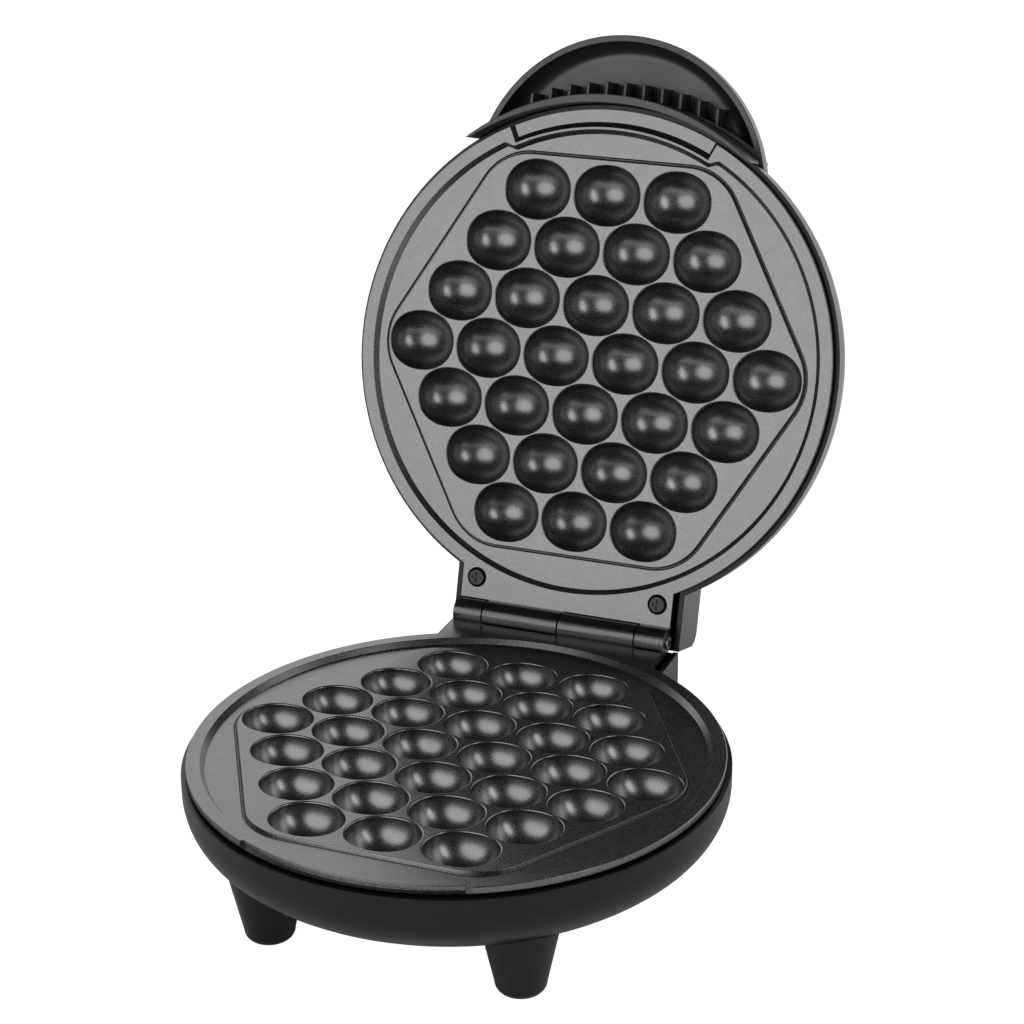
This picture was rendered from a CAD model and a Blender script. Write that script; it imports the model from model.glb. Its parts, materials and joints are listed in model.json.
import json
import math

import bmesh
import bpy
from mathutils import Matrix, Vector, geometry


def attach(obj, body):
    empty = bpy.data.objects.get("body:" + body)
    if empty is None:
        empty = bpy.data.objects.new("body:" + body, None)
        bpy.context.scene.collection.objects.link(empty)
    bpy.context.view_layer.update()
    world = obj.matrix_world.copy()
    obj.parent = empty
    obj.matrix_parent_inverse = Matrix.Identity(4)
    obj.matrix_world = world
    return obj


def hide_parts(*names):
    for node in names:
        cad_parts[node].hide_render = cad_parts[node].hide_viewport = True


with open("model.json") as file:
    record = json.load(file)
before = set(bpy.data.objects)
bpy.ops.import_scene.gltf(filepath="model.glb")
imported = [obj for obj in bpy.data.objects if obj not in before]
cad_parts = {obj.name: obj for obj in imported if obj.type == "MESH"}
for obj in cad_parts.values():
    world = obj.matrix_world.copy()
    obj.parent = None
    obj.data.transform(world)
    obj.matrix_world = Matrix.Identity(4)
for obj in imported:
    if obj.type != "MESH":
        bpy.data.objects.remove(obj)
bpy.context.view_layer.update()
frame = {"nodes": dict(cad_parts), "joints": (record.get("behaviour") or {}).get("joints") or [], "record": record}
nodes = frame["nodes"]

MM = 0.001
UP = Vector((0, 0, 1))

# The hinge, which the record's joint gives, ties the plates' own measures to the frame
HINGE = Vector(frame["joints"][0]["pos_m"])
OPEN_ANGLE = math.radians(frame["record"]["behaviour"]["joints"][0]["range_deg"][1])
PLATE_TO_HINGE_Y = 110.1 * MM
PLATE_TO_HINGE_Z = 3 * MM
LOWER_CENTRE = HINGE - Vector((0, PLATE_TO_HINGE_Y, PLATE_TO_HINGE_Z))

# Camera, at the photograph's viewing angle
CAMERA_FROM_PLATE = Vector((346.31, -794.55, 459.30)) * MM
CAMERA_AZIMUTH = 22.101
CAMERA_ELEVATION = 22.699
CAMERA_ROLL = -0.740
CAMERA_LENS = 91.23
SENSOR = 36.0


def add_camera():
    data = bpy.data.cameras.new("camera")
    data.lens = CAMERA_LENS
    data.sensor_width = SENSOR
    data.clip_end = 20
    camera = bpy.data.objects.new("camera", data)
    bpy.context.scene.collection.objects.link(camera)
    turn = (Matrix.Rotation(math.radians(CAMERA_AZIMUTH), 4, "Z")
            @ Matrix.Rotation(math.radians(90 - CAMERA_ELEVATION), 4, "X")
            @ Matrix.Rotation(math.radians(CAMERA_ROLL), 4, "Z"))
    camera.matrix_world = Matrix.Translation(LOWER_CENTRE + CAMERA_FROM_PLATE) @ turn
    bpy.context.scene.camera = camera


add_camera()

scene = bpy.context.scene
scene.view_settings.view_transform = "Standard"


# Shader helpers
NOISE_LOW = 0.3
NOISE_HIGH = 0.7


class Shader:
    """A node tree with short calls for adding and joining nodes."""

    def __init__(self, tree):
        self.tree = tree
        tree.nodes.clear()

    def add(self, kind, **values):
        node = self.tree.nodes.new(kind)
        for key, value in values.items():
            setattr(node, key, value)
        return node

    def join(self, source, target):
        self.tree.links.new(source, target)

    def multiply(self, first, second):
        node = self.add("ShaderNodeMath", operation="MULTIPLY")
        self.join(first, node.inputs[0])
        self.join(second, node.inputs[1])
        return node.outputs[0]

    def ramp(self, source, low, high, low_value, high_value):
        """Turns low to high into low_value to high_value, and clamps beyond them."""
        node = self.add("ShaderNodeMapRange")
        node.inputs["From Min"].default_value = low
        node.inputs["From Max"].default_value = high
        node.inputs["To Min"].default_value = low_value
        node.inputs["To Max"].default_value = high_value
        self.join(source, node.inputs["Value"])
        return node.outputs["Result"]

    def coordinates(self, kind):
        """Separate X, Y and Z sockets of a texture coordinate."""
        where = self.add("ShaderNodeTexCoord")
        split = self.add("ShaderNodeSeparateXYZ")
        self.join(where.outputs[kind], split.inputs[0])
        return split.outputs

    def noise(self, scale, detail, roughness):
        where = self.add("ShaderNodeTexCoord")
        node = self.add("ShaderNodeTexNoise")
        node.inputs["Scale"].default_value = scale
        node.inputs["Detail"].default_value = detail
        node.inputs["Roughness"].default_value = roughness
        self.join(where.outputs["Object"], node.inputs["Vector"])
        return node.outputs["Fac"]

    def spread(self, noise, low_value, high_value):
        """Stretches a noise, which lies mostly between NOISE_LOW and NOISE_HIGH."""
        return self.ramp(noise, NOISE_LOW, NOISE_HIGH, low_value, high_value)


def new_material(name):
    material = bpy.data.materials.new(name)
    material.use_nodes = True
    return material, Shader(material.node_tree)


def principled(name, colour, roughness, metallic=0.0, specular=0.5):
    material, sh = new_material(name)
    out = sh.add("ShaderNodeOutputMaterial")
    bsdf = sh.add("ShaderNodeBsdfPrincipled")
    bsdf.inputs["Base Color"].default_value = (*colour, 1)
    bsdf.inputs["Roughness"].default_value = roughness
    bsdf.inputs["Metallic"].default_value = metallic
    bsdf.inputs["Specular IOR Level"].default_value = specular
    sh.join(bsdf.outputs[0], out.inputs["Surface"])
    return material, sh, bsdf


def add_bump(sh, bsdf, height, distance, strength, normal=None):
    bump = sh.add("ShaderNodeBump")
    bump.inputs["Distance"].default_value = distance
    bump.inputs["Strength"].default_value = strength
    sh.join(height, bump.inputs["Height"])
    if normal is not None:
        sh.join(normal, bump.inputs["Normal"])
    sh.join(bump.outputs["Normal"], bsdf.inputs["Normal"])


# Materials
COATING = (0.25, 0.25, 0.253)
# How much darker the bare cast knuckles and back are than the coated face
BARE_SHADE = 0.45
EDGE_RADIUS = 0.6 * MM
GRAIN_DEPTH = 0.03 * MM
HAZE_DEPTH = 0.02 * MM
GLAZE_DEPTH = 0.05 * MM
WEAVE_DEPTH = 0.1 * MM


def coated_plate():
    """Dark grey non-stick coating with a fine metallic speckle. The attribute bare marks bare casting."""
    material, sh, bsdf = principled("coated_plate", COATING, 0.27, metallic=1.0)
    speckle = sh.noise(2600, 1.5, 0.6)
    mottle = sh.noise(260, 2.0, 0.5)
    grain = sh.spread(speckle, 0.78, 1.22)
    cloud = sh.spread(mottle, 0.97, 1.03)
    bare = sh.add("ShaderNodeAttribute", attribute_name="bare")
    shade = sh.ramp(bare.outputs["Fac"], 0.0, 1.0, 1.0, 1 - BARE_SHADE)
    tint = sh.add("ShaderNodeVectorMath", operation="SCALE")
    tint.inputs[0].default_value = COATING
    sh.join(sh.multiply(grain, sh.multiply(cloud, shade)), tint.inputs["Scale"])
    sh.join(tint.outputs["Vector"], bsdf.inputs["Base Color"])
    sh.join(sh.spread(speckle, 0.22, 0.33), bsdf.inputs["Roughness"])
    add_bump(sh, bsdf, speckle, GRAIN_DEPTH, 0.6)
    return material


def moulded_plastic(name, colour, roughness, specular):
    """Satin moulded plastic with a fine grain, and edges that catch the light as rounded ones do."""
    material, sh, bsdf = principled(name, colour, roughness, specular=specular)
    edge = sh.add("ShaderNodeBevel", samples=6)
    edge.inputs["Radius"].default_value = EDGE_RADIUS
    grain = sh.noise(3000, 2.0, 0.6)
    patch = sh.noise(40, 2.0, 0.5)
    sh.join(sh.spread(patch, roughness - 0.03, roughness + 0.03), bsdf.inputs["Roughness"])
    add_bump(sh, bsdf, grain, GRAIN_DEPTH, 0.5, edge.outputs["Normal"])
    return material


def plain_metal(name, colour, roughness):
    material, sh, bsdf = principled(name, colour, roughness, metallic=1.0)
    haze = sh.noise(900, 3.0, 0.6)
    sh.join(sh.spread(haze, roughness - 0.06, roughness + 0.08), bsdf.inputs["Roughness"])
    add_bump(sh, bsdf, haze, HAZE_DEPTH, 0.4)
    return material


def ceramic():
    material, sh, bsdf = principled("ceramic", (0.82, 0.80, 0.74), 0.3)
    add_bump(sh, bsdf, sh.noise(300, 3.0, 0.6), GLAZE_DEPTH, 0.4)
    return material


def woven_sleeve():
    material, sh, bsdf = principled("woven_sleeve", (0.78, 0.78, 0.75), 0.75)
    add_bump(sh, bsdf, sh.noise(1800, 1.0, 0.5), WEAVE_DEPTH, 0.8)
    return material


def tinted_lens(name, colour):
    material, sh, bsdf = principled(name, colour, 0.12)
    bsdf.inputs["Transmission Weight"].default_value = 0.55
    add_bump(sh, bsdf, sh.noise(500, 2.0, 0.5), HAZE_DEPTH, 0.3)
    return material


MATERIALS = {
    "coated_plate": coated_plate(),
    "housing_plastic": moulded_plastic("housing_plastic", (0.005, 0.005, 0.0052), 0.28, 0.42),
    "handle_plastic": moulded_plastic("handle_plastic", (0.022, 0.022, 0.023), 0.30, 1.0),
    "plated_steel": plain_metal("plated_steel", (0.5, 0.5, 0.51), 0.32),
    "heater_steel": plain_metal("heater_steel", (0.35, 0.34, 0.33), 0.4),
    "shield_aluminium": plain_metal("shield_aluminium", (0.75, 0.75, 0.76), 0.35),
    "ceramic": ceramic(),
    "lead_sleeve": woven_sleeve(),
    "amber_lens": tinted_lens("amber_lens", (0.8, 0.28, 0.06)),
    "green_lens": tinted_lens("green_lens", (0.08, 0.5, 0.16)),
    "lamp_glass": tinted_lens("lamp_glass", (0.9, 0.6, 0.4)),
}

# Nodes that look different from the rest of their slot
NODE_MATERIALS = {
    "upper_plate_screws": plain_metal("blackened_steel", (0.07, 0.07, 0.072), 0.38),
}


def dress(obj, material):
    obj.data.materials.clear()
    obj.data.materials.append(material)
    for polygon in obj.data.polygons:
        polygon.material_index = 0


for subpart in frame["record"]["subparts"]:
    node = subpart["node"]
    dress(nodes[node], NODE_MATERIALS.get(node) or MATERIALS[subpart["material_slot"]])


# Plates, in millimetres and degrees round each plate's centre, with the cavity field at height 0
PLATE_R = 101.5
FRONT_A = 270.0
ARC_STEP = 1.5
RIM_H = 1.0
RIM_UNDER_Z = -1.5
RIM_ROUND = 0.35
RIM_CORNER = 0.15
TROUGH_Z = -1.2

# Raised field, and the groove at its foot as (distance out from the field's edge, height)
FIELD_FLAT = 82.0
FIELD_CORNER_R = 24.0
FIELD_STEP = 4
GROOVE_Z = -2.2
GROOVE = [(-1.35, 0), (-1.1, 0), (-0.3, GROOVE_Z), (0.4, TROUGH_Z), (0.65, TROUGH_Z)]
GROOVE_FILLETS = [0.25, 0.15, 0.2]

# Cavities. CAVITY_TIP is the share of the mouth at which a bowl ends.
CAVITY_A = 13.9
CAVITY_B = 12.0
CAVITY_DEPTH = 12.0
CAVITY_POWER = 2.15
CAVITY_EDGE = 0.65
CAVITY_TIP = 0.0001
CAVITY_PITCH = 30.0
ROW_PITCH = 22.3
MOUTH_STEP = 5
EDGE_STEP = 15
BOWL_STEP = 6

# Slope from the trough up to the rim. LEDGE is the short level run at either end of its profile.
RIM_FOOT_R = 94.5
SLOPE_W = 1.8
SLOPE_FILLET = 0.4
LEDGE = 0.25

# Recess at the front of the upper plate, and the jog of the slope's foot on either side of it
RECESS_A = 26.0
END_SLOPE_A = 0.9
RIDGE_FOOT_R = 91.5
RIDGE_W = 1.0
RIDGE_OUT_W = 2.0
RIDGE_ROUND = 0.3
JOG_A = 2.6
JOG_GAP_A = 0.2
JOG_END_A = 0.4
JOG_STEP = 0.2

# Narrower rim at the front of the lower plate, and the notch at its right end
CUT_RIM_R = 100.2
CUT_RIM_FOOT = 0.3
NOTCH_A = 1.4

# Hinge tongue and the screws' wells
TONGUE_X = 46.0
TONGUE_IN_OWN_Y = 110.1
TONGUE_IN_OTHER_Y = 104.23
TONGUE_OVERLAP_A = 0.4
KNUCKLE_SPLIT = 33.4
SCREW_X = 39.7
SCREW_Y = 95.5
WELL_R = 4.2

# Slack in telling the CAD plate's faces apart by where they lie
SLACK = 0.1
FINE_SLACK = 0.02
SHARP_ANGLE = 35

LOWER_PLACE = Matrix.Translation(LOWER_CENTRE) @ Matrix.Scale(MM, 4)
UPPER_PLACE = (Matrix.Translation(HINGE) @ Matrix.Rotation(-OPEN_ANGLE, 4, "X")
               @ Matrix.Translation((0, -PLATE_TO_HINGE_Y, PLATE_TO_HINGE_Z))
               @ Matrix.Rotation(math.pi, 4, "Y") @ Matrix.Scale(MM, 4))


def polar(r, angle):
    a = math.radians(angle)
    return r * math.cos(a), r * math.sin(a)


def steps(start, end, size):
    n = max(1, math.ceil(abs(end - start) / size))
    return [start + (end - start) * i / n for i in range(n + 1)]


def signed_power(value, power):
    return math.copysign(abs(value) ** power, value)


def places(ring):
    """The (x, y) of each place in a ring."""
    return [(x, y) for x, y, _, _ in ring]


def rounded(points, radii, turns=5):
    """Rounds a profile's corners. Gives (out, up, normal out, normal up), with the air on its left."""
    result = []

    def normal(a, b):
        d = (b - a).normalized()
        return Vector((-d.y, d.x))

    points = [Vector(p) for p in points]
    first = normal(points[0], points[1])
    result.append((*points[0], *first))
    for i, radius in enumerate(radii):
        before, corner, after = points[i:i + 3]
        n0, n1 = normal(before, corner), normal(corner, after)
        turn = math.atan2(n0.x * n1.y - n0.y * n1.x, n0.dot(n1))
        side = 1 if turn > 0 else -1
        reach = radius * math.tan(abs(turn) / 2)
        start = corner - (corner - before).normalized() * reach
        centre = start + n0 * radius * side
        for k in range(turns + 1):
            a = turn * k / turns
            n = Vector((n0.x * math.cos(a) - n0.y * math.sin(a), n0.x * math.sin(a) + n0.y * math.cos(a)))
            p = centre - n * radius * side
            result.append((*p, *n))
    last = normal(points[-2], points[-1])
    result.append((*points[-1], *last))
    return result


class Skin:
    """Faces whose corners carry exact normals, so that flats stay flat right up to each rounded edge."""

    def __init__(self):
        self.points = []
        self.faces = []
        self.normals = []

    def face(self, corners, normals):
        """Adds a face, turned so that it faces the way its normals do."""
        a, b, c = (self.points[corners[i]] for i in (0, 1, len(corners) - 1))
        if (b - a).cross(c - a).dot(sum(normals, Vector())) < 0:
            corners, normals = corners[::-1], normals[::-1]
        self.faces.append(corners)
        self.normals.append(normals)

    def add_points(self, points):
        start = len(self.points)
        self.points.extend(Vector(p) for p in points)
        return list(range(start, len(self.points)))

    def add_face(self, points, normal):
        ids = self.add_points(points)
        self.face(ids, [normal] * len(ids))

    def sweep(self, rings, closed):
        """Quads between rings of (point, normal)."""
        ids = [self.add_points(p for p, _ in ring) for ring in rings]
        for ring_ids, ring, next_ids, next_ring in zip(ids, rings, ids[1:], rings[1:]):
            n = len(ring)
            for i in range(n if closed else n - 1):
                j = (i + 1) % n
                self.face([ring_ids[i], ring_ids[j], next_ids[j], next_ids[i]],
                          [ring[i][1], ring[j][1], next_ring[j][1], next_ring[i][1]])

    def profile_sweep(self, profile, path, closed=False):
        """Sweeps a profile. path(out) gives the (x, y, outward x, outward y) of each place."""
        rings = [[(Vector((x, y, up)), Vector((nx * n_out, ny * n_out, n_up))) for x, y, nx, ny in path(out)]
                 for out, up, n_out, n_up in profile]
        self.sweep(rings, closed)

    def flat(self, loops, z):
        """Fills a level area that has holes."""
        ids = self.add_points((x, y, z) for loop in loops for x, y in loop)
        flat_loops = [[Vector((x, y, 0)) for x, y in loop] for loop in loops]
        for triangle in geometry.tessellate_polygon(flat_loops):
            self.face([ids[i] for i in triangle], [UP] * 3)


def field_path(out):
    """Round-cornered hexagon with its corners on the X axis, moved outwards."""
    corner_d = (FIELD_FLAT - FIELD_CORNER_R) / math.cos(math.radians(30))
    ring = []
    for i in range(6):
        for a in steps(60 * i - 30, 60 * i + 30, FIELD_STEP):
            cx, cy = polar(corner_d, 60 * i)
            nx, ny = polar(1, a)
            r = FIELD_CORNER_R + out
            ring.append((cx + nx * r, cy + ny * r, nx, ny))
    return ring


def oval(centre, out):
    """Outline of a cavity's mouth, moved outwards."""
    ring = []
    for a in steps(0, 360, MOUTH_STEP)[:-1]:
        c, s = polar(1, a)
        x = CAVITY_A * signed_power(c, 2 / CAVITY_POWER)
        y = CAVITY_B * signed_power(s, 2 / CAVITY_POWER)
        n = Vector((signed_power(x / CAVITY_A, CAVITY_POWER - 1) / CAVITY_A,
                    signed_power(y / CAVITY_B, CAVITY_POWER - 1) / CAVITY_B)).normalized()
        ring.append((centre[0] + x + n.x * out, centre[1] + y + n.y * out, n.x, n.y))
    return ring


def cavity_centres():
    for row in range(-3, 4):
        n = 6 - abs(row)
        for i in range(n):
            yield (i - (n - 1) / 2) * CAVITY_PITCH, row * ROW_PITCH


def bowl_normal(dx, dy, up):
    """Normal inside a bowl, at a place given from the mouth's centre."""
    a, b = dx / CAVITY_A, dy / CAVITY_B
    reach = (abs(a) ** CAVITY_POWER + abs(b) ** CAVITY_POWER) ** (1 / CAVITY_POWER)
    pull = reach ** (2 - CAVITY_POWER)
    return -Vector((pull * signed_power(a, CAVITY_POWER - 1) / CAVITY_A,
                    pull * signed_power(b, CAVITY_POWER - 1) / CAVITY_B,
                    up / CAVITY_DEPTH ** 2)).normalized()


def add_cavity(skin, centre):
    """A rounded edge, then a bowl whose sections are ellipses."""
    rings = []
    for a in steps(0, 90, EDGE_STEP):
        c, s = polar(1, a)
        out, up = CAVITY_EDGE * (1 - s), -CAVITY_EDGE * (1 - c)
        rings.append([(Vector((x, y, up)), Vector((-nx * s, -ny * s, c)))
                      for x, y, nx, ny in oval(centre, out)])
    mouth = oval(centre, 0)
    for a in steps(0, 90, BOWL_STEP)[1:]:
        share, depth = polar(1, a)
        share, up = max(share, CAVITY_TIP), -CAVITY_DEPTH * depth
        ring = []
        for x, y, _, _ in mouth:
            dx, dy = (x - centre[0]) * share, (y - centre[1]) * share
            ring.append((Vector((centre[0] + dx, centre[1] + dy, up)), bowl_normal(dx, dy, up)))
        rings.append(ring)
    skin.sweep(rings, True)


def foot_r(angle, has_ridge):
    """Radius of the foot of the rim's inner slope, which jogs inwards to the upper plate's ridge."""
    if not has_ridge:
        return RIM_FOOT_R
    off = abs((angle - FRONT_A + 180) % 360 - 180) - RECESS_A - JOG_GAP_A
    t = min(1, max(0, off / JOG_A))
    return RIDGE_FOOT_R + (RIM_FOOT_R - RIDGE_FOOT_R) * t * t * (3 - 2 * t)


def foot_path(angles, has_ridge):
    """Path of the inner slope's foot, with outward directions square to it."""
    near = 0.1

    def path(out):
        ring = []
        for a in angles:
            r = foot_r(a, has_ridge)
            lean = (foot_r(a + near, has_ridge) - foot_r(a - near, has_ridge)) / math.radians(2 * near) / r
            n = Vector((1, -lean)).normalized()
            c, s = polar(1, a)
            x, y = polar(r + out, a)
            ring.append((x, y, n.x * c - n.y * s, n.x * s + n.y * c))
        return ring
    return path


def circle_path(angles):
    return lambda out: [(*polar(out, a), *polar(1, a)) for a in angles]


def add_end_wall(skin, angle, side, section):
    """A wall across the rim, through (radius, height) points, that faces along or against the angle."""
    skin.add_face([(*polar(r, angle), z) for r, z in section], Vector((*polar(side, angle + 90), 0)))


def add_end_slope(skin, angle, side, inner_r):
    """A sloped end of the recess, from the rim's top down to the recess floor."""
    foot = angle + side * END_SLOPE_A
    lean = Vector((*polar(side * (RIM_H - TROUGH_Z), foot + 90), PLATE_R * math.radians(END_SLOPE_A)))
    outer_top, outer_foot = (*polar(PLATE_R, angle), RIM_H), (*polar(PLATE_R, foot), TROUGH_Z)
    skin.add_face([(*polar(inner_r, angle), RIM_H), outer_top, outer_foot, (*polar(inner_r, foot), TROUGH_Z)],
                  lean.normalized())
    skin.add_face([outer_top, (*polar(PLATE_R, angle), TROUGH_Z), outer_foot], Vector((*polar(1, angle), 0)))


def add_ridge(skin, angles):
    """The upper plate's ridge, recess floor and outer edge between the ends of the recess."""
    top = RIDGE_FOOT_R + SLOPE_W
    ridge = rounded([(RIDGE_FOOT_R - LEDGE, TROUGH_Z), (RIDGE_FOOT_R, TROUGH_Z), (top, RIM_H),
                     (top + RIDGE_W, RIM_H), (top + RIDGE_W + RIDGE_OUT_W, TROUGH_Z), (PLATE_R, TROUGH_Z),
                     (PLATE_R, RIM_UNDER_Z)],
                    [SLOPE_FILLET, RIDGE_ROUND, RIDGE_ROUND, RIDGE_ROUND, RIM_CORNER])
    skin.profile_sweep(ridge, circle_path(angles))
    for angle, side in ((angles[0], 1), (angles[-1], -1)):
        add_end_slope(skin, angle, side, top + RIDGE_W)


def add_cut_rim(skin, angles):
    """The lower plate's narrower rim at the front, with a notch at its right end."""
    notch_a = angles[-1] - NOTCH_A
    slope = [(RIM_FOOT_R - LEDGE, TROUGH_Z), (RIM_FOOT_R, TROUGH_Z), (RIM_FOOT_R + SLOPE_W, RIM_H)]
    cut = [(CUT_RIM_R, RIM_H), (CUT_RIM_R, TROUGH_Z + CUT_RIM_FOOT), (PLATE_R, RIM_UNDER_Z)]
    rim = rounded(slope + cut, [SLOPE_FILLET, SLOPE_FILLET, RIDGE_ROUND, RIM_CORNER])
    skin.profile_sweep(rim, circle_path(steps(angles[0], notch_a, ARC_STEP)))
    floor = rounded([(RIM_FOOT_R - LEDGE, TROUGH_Z), (PLATE_R, TROUGH_Z), (PLATE_R, RIM_UNDER_Z)],
                    [RIM_CORNER])
    skin.profile_sweep(floor, circle_path([notch_a, angles[-1]]))
    add_end_wall(skin, notch_a, 1, slope[1:] + [(CUT_RIM_R, RIM_H), (CUT_RIM_R, TROUGH_Z)])
    full = slope[1:] + [(PLATE_R - RIM_ROUND, RIM_H), (PLATE_R, RIM_H - RIM_ROUND), (PLATE_R, TROUGH_Z)]
    for angle, side in ((angles[-1], -1), (angles[0], 1)):
        add_end_wall(skin, angle, side, full)


def add_field(skin):
    """Cavities, raised field and the groove at its foot."""
    centres = list(cavity_centres())
    for centre in centres:
        add_cavity(skin, centre)
    skin.profile_sweep(rounded(GROOVE, GROOVE_FILLETS), field_path, True)
    mouths = [places(oval(centre, CAVITY_EDGE)) for centre in centres]
    skin.flat([places(field_path(GROOVE[0][0]))] + mouths, 0)


def rim_outline():
    """Outer edge of the level rim and hinge tongue, from one end of the recess round to the other."""
    edge_r = PLATE_R - RIM_ROUND
    meet_a = math.degrees(math.atan2(math.sqrt(edge_r ** 2 - TONGUE_X ** 2), TONGUE_X))
    right = [polar(edge_r, a) for a in steps(FRONT_A + RECESS_A, 360 + meet_a, ARC_STEP)]
    tongue = [(TONGUE_X, TONGUE_IN_OTHER_Y), (KNUCKLE_SPLIT, TONGUE_IN_OTHER_Y),
              (KNUCKLE_SPLIT, TONGUE_IN_OWN_Y), (0, TONGUE_IN_OWN_Y), (0, TONGUE_IN_OTHER_Y),
              (-KNUCKLE_SPLIT, TONGUE_IN_OTHER_Y), (-KNUCKLE_SPLIT, TONGUE_IN_OWN_Y),
              (-TONGUE_X, TONGUE_IN_OWN_Y)]
    left = [polar(edge_r, a) for a in steps(180 - meet_a, FRONT_A - RECESS_A, ARC_STEP)]
    return right + tongue + left


def build_face(is_upper):
    skin = Skin()
    add_field(skin)

    # Trough's floor
    jog, recess_end, next_front = RECESS_A + JOG_A + JOG_END_A, FRONT_A + RECESS_A, FRONT_A + 360
    rim_angles = (steps(recess_end, FRONT_A + jog, JOG_STEP)
                  + steps(FRONT_A + jog, next_front - jog, ARC_STEP)[1:]
                  + steps(next_front - jog, next_front - RECESS_A, JOG_STEP)[1:])
    recess_angles = steps(FRONT_A - RECESS_A, recess_end, ARC_STEP)
    floor_edge = places(foot_path(recess_angles[:-1] + rim_angles[:-1], is_upper)(-LEDGE))
    skin.flat([floor_edge, places(field_path(GROOVE[-1][0]))], TROUGH_Z)

    # Slope up to the rim, and its outer edge
    slope = rounded([(-LEDGE, TROUGH_Z), (0, TROUGH_Z), (SLOPE_W, RIM_H), (SLOPE_W + LEDGE, RIM_H)],
                    [SLOPE_FILLET, SLOPE_FILLET])
    skin.profile_sweep(slope, foot_path(rim_angles, is_upper))
    tongue_a = math.degrees(math.acos(TONGUE_X / PLATE_R)) + TONGUE_OVERLAP_A
    edge = rounded([(PLATE_R - RIM_ROUND, RIM_H), (PLATE_R, RIM_H), (PLATE_R, RIM_UNDER_Z)], [RIM_ROUND])
    for start, end in ((recess_end, 360 + tongue_a), (180 - tongue_a, FRONT_A - RECESS_A)):
        skin.profile_sweep(edge, circle_path(steps(start, end, ARC_STEP)))

    if is_upper:
        add_ridge(skin, recess_angles)
    else:
        add_cut_rim(skin, recess_angles)

    # Level top of the rim and hinge tongue
    inner = places(foot_path(rim_angles, is_upper)(SLOPE_W + LEDGE))
    well = [polar(WELL_R, a) for a in steps(0, 360, MOUTH_STEP)[:-1]]
    wells = [[(side * SCREW_X + x, SCREW_Y + y) for x, y in well] for side in (-1, 1)] if is_upper else []
    skin.flat([rim_outline() + inner[::-1]] + wells, RIM_H)
    return skin


def is_cast_face(centre, normal):
    """Whether a face of the CAD plate, in the plate's own measure, is one that the skin stands for."""
    x, y, z = centre
    r = math.hypot(x, y)
    if math.hypot(abs(x) - SCREW_X, y - SCREW_Y) < WELL_R + 3 * SLACK and z < RIM_H - FINE_SLACK / 2:
        return False
    if abs(z - RIM_H) < FINE_SLACK and normal.z > 0.99:
        return True
    if z > TROUGH_Z - SLACK and r < PLATE_R + SLACK / 2:
        return True
    is_edge = abs(r - PLATE_R) < 2 * SLACK and abs(normal.z) < SLACK and abs(x) > TONGUE_X - SLACK
    if is_edge and RIM_UNDER_Z + FINE_SLACK < z < RIM_H:
        return True
    for cx, cy in cavity_centres():
        dx = max(0, abs(x - cx) - (CAVITY_A - CAVITY_B))
        if dx * dx + (y - cy) ** 2 + z * z < (CAVITY_DEPTH + SLACK) ** 2:
            return True
    return False


def cad_back(node, place):
    """A copy of the CAD plate without the faces that the skin stands for."""
    back = nodes[node].data.copy()
    bm = bmesh.new()
    bm.from_mesh(back)
    bmesh.ops.remove_doubles(bm, verts=bm.verts, dist=1e-6)
    to_plate = place.inverted()
    turn = to_plate.to_3x3().normalized()
    doomed = [f for f in bm.faces if is_cast_face(to_plate @ f.calc_center_median(), turn @ f.normal)]
    bmesh.ops.delete(bm, geom=doomed, context="FACES")
    bm.to_mesh(back)
    bm.free()
    back.shade_smooth()
    back.set_sharp_from_angle(angle=math.radians(SHARP_ANGLE))
    return back


def add_plate(name, node, place, is_upper, body):
    """The CAD plate's back, tongue and knuckles under a cast face with rounded edges."""
    skin = build_face(is_upper)
    back = cad_back(node, place)
    rotate = place.to_3x3().normalized()
    corner_normals = [Vector(n.vector) for n in back.corner_normals]
    points = [place @ p for p in skin.points]
    faces = list(skin.faces)
    normals = [rotate @ n for face in skin.normals for n in face]
    start = len(points)
    points += [v.co.copy() for v in back.vertices]
    for polygon in back.polygons:
        faces.append([start + v for v in polygon.vertices])
        normals += [corner_normals[i] for i in polygon.loop_indices]

    mesh = bpy.data.meshes.new(name)
    mesh.from_pydata(points, [], faces)
    mesh.shade_smooth()
    mesh.normals_split_custom_set([n.normalized() for n in normals])
    bare = mesh.attributes.new("bare", "FLOAT", "POINT")
    bare.data.foreach_set("value", [0.0 if i < start else 1.0 for i in range(len(points))])
    mesh.materials.append(MATERIALS["coated_plate"])
    bpy.data.meshes.remove(back)
    piece = bpy.data.objects.new(name, mesh)
    scene.collection.objects.link(piece)
    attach(piece, body)
    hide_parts(node)


add_plate("lower_cast_plate", "lower_plate", LOWER_PLACE, False, "base")
add_plate("upper_cast_plate", "upper_plate", UPPER_PLACE, True, "lid")


# Studio, in metres. The world's heights and depths are parts of a unit direction.
WHITE = (1, 1, 1, 1)
STUDIO_DIM = 0.024
BACKDROP = 1.0
BACKDROP_Y = (0.0, 0.25)
BACKDROP_TOP_Z = (0.55, 0.75)
FLOOR_HALF = 4.0
FLOOR_COLOUR = (0.9, 0.9, 0.9, 1)
FLOOR_GLOW = 0.95
FLOOR_BEHIND = 0.9
FLOOR_BEHIND_Y = (0.10, 0.35)
SOFTBOX_AIM = Vector((0, 0.0, 0.12))
FRONT_SOFTBOX = Vector((-0.180, -0.520, 0.330))
FRONT_SIZE = (0.58, 0.52)
FRONT_RADIANCE = 1.4
SIDE_SOFTBOX = Vector((0.415, -0.202, 0.350))
SIDE_SIZE = (0.19, 0.36)
SIDE_RADIANCE = 2.1
# Each softbox is three nested ovals, so that its reflection fades towards its edge
OVAL_SHARES = (0.42, 0.72, 1.05)


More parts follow.
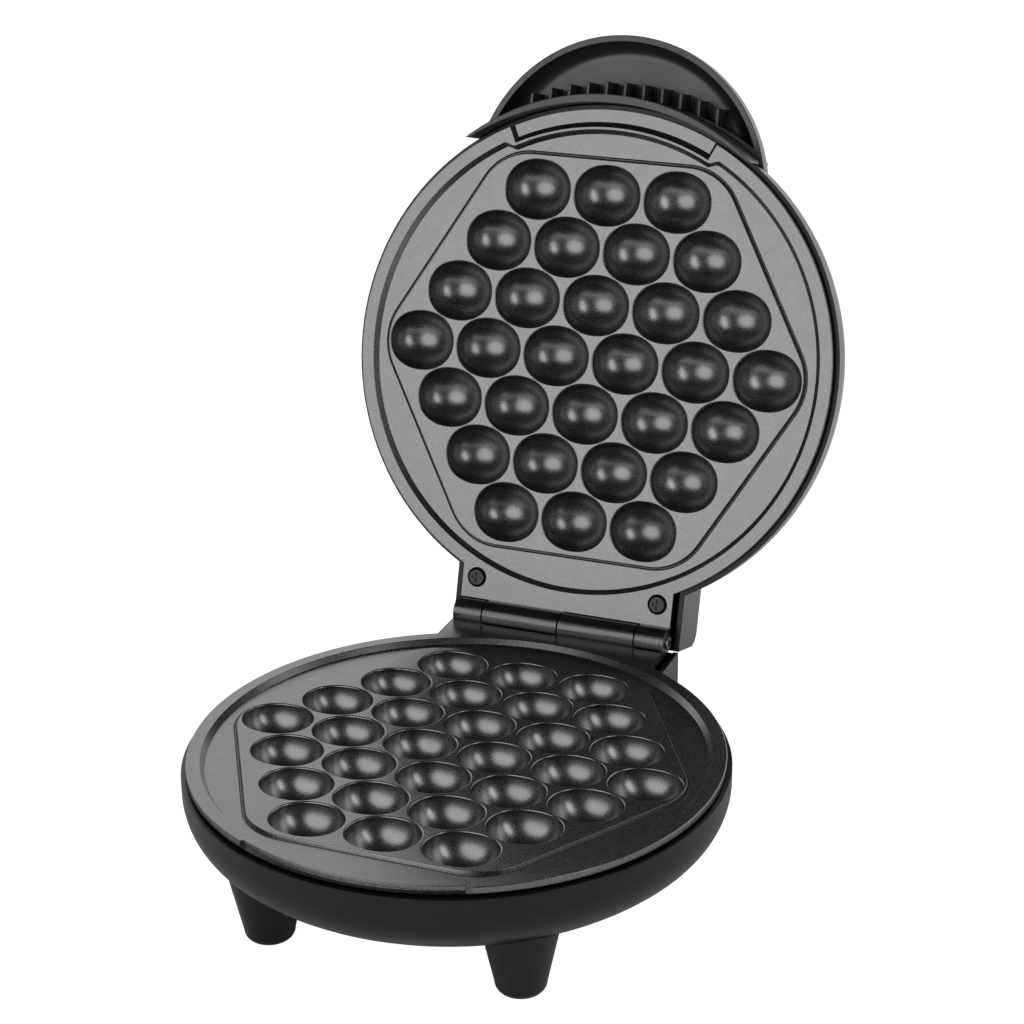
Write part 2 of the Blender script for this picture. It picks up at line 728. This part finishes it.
def add_floor():
    """A pale floor, white to the camera, and white behind the appliance to its reflections."""
    mesh = bpy.data.meshes.new("floor")
    corners = [(x * FLOOR_HALF, y * FLOOR_HALF, 0) for x, y in ((-1, -1), (1, -1), (1, 1), (-1, 1))]
    mesh.from_pydata(corners, [], [(0, 1, 2, 3)])
    floor = bpy.data.objects.new("floor", mesh)
    scene.collection.objects.link(floor)
    material, sh = new_material("floor")
    out = sh.add("ShaderNodeOutputMaterial")
    diffuse = sh.add("ShaderNodeBsdfDiffuse")
    diffuse.inputs["Color"].default_value = FLOOR_COLOUR
    glow = sh.add("ShaderNodeEmission")
    glow.inputs["Color"].default_value = WHITE
    path = sh.add("ShaderNodeLightPath")
    behind = sh.ramp(sh.coordinates("Object")["Y"], *FLOOR_BEHIND_Y, 0.0, FLOOR_BEHIND)
    seen = sh.add("ShaderNodeMix", data_type="FLOAT")
    sh.join(path.outputs["Is Camera Ray"], seen.inputs[0])
    sh.join(sh.multiply(path.outputs["Is Glossy Ray"], behind), seen.inputs[2])
    seen.inputs[3].default_value = FLOOR_GLOW
    sh.join(seen.outputs[0], glow.inputs["Strength"])
    both = sh.add("ShaderNodeAddShader")
    sh.join(diffuse.outputs[0], both.inputs[0])
    sh.join(glow.outputs[0], both.inputs[1])
    sh.join(both.outputs[0], out.inputs["Surface"])
    floor.data.materials.append(material)


def add_world():
    """White to the camera. Otherwise a white backdrop behind the appliance and a dim studio elsewhere."""
    world = bpy.data.worlds.new("studio")
    scene.world = world
    world.use_nodes = True
    sh = Shader(world.node_tree)
    out = sh.add("ShaderNodeOutputWorld")
    path = sh.add("ShaderNodeLightPath")
    direction = sh.coordinates("Generated")
    behind = sh.ramp(direction["Y"], *BACKDROP_Y, 0.0, 1.0)
    low = sh.ramp(direction["Z"], *BACKDROP_TOP_Z, 1.0, 0.0)
    level = sh.ramp(sh.multiply(behind, low), 0.0, 1.0, STUDIO_DIM, BACKDROP)
    studio = sh.add("ShaderNodeBackground")
    studio.inputs["Color"].default_value = WHITE
    sh.join(level, studio.inputs["Strength"])
    white = sh.add("ShaderNodeBackground")
    white.inputs["Color"].default_value = WHITE
    white.inputs["Strength"].default_value = 1.0
    mix = sh.add("ShaderNodeMixShader")
    sh.join(path.outputs["Is Camera Ray"], mix.inputs["Fac"])
    sh.join(studio.outputs[0], mix.inputs[1])
    sh.join(white.outputs[0], mix.inputs[2])
    sh.join(mix.outputs[0], out.inputs["Surface"])


def add_softbox(name, place, size, radiance):
    """An oval area light that faces the appliance and has the given radiance."""
    data = bpy.data.lights.new(name, "AREA")
    data.shape = "ELLIPSE"
    data.size, data.size_y = size
    data.energy = radiance * math.pi * size[0] * size[1] * math.pi / 4
    light = bpy.data.objects.new(name, data)
    scene.collection.objects.link(light)
    light.location = place
    light.rotation_euler = (SOFTBOX_AIM - place).to_track_quat("-Z", "Y").to_euler()
    light.visible_camera = False


add_floor()
add_world()
for i, share in enumerate(OVAL_SHARES):
    add_softbox(f"front_softbox_{i}", FRONT_SOFTBOX, [s * share for s in FRONT_SIZE], FRONT_RADIANCE)
    add_softbox(f"side_softbox_{i}", SIDE_SOFTBOX, [s * share for s in SIDE_SIZE], SIDE_RADIANCE)
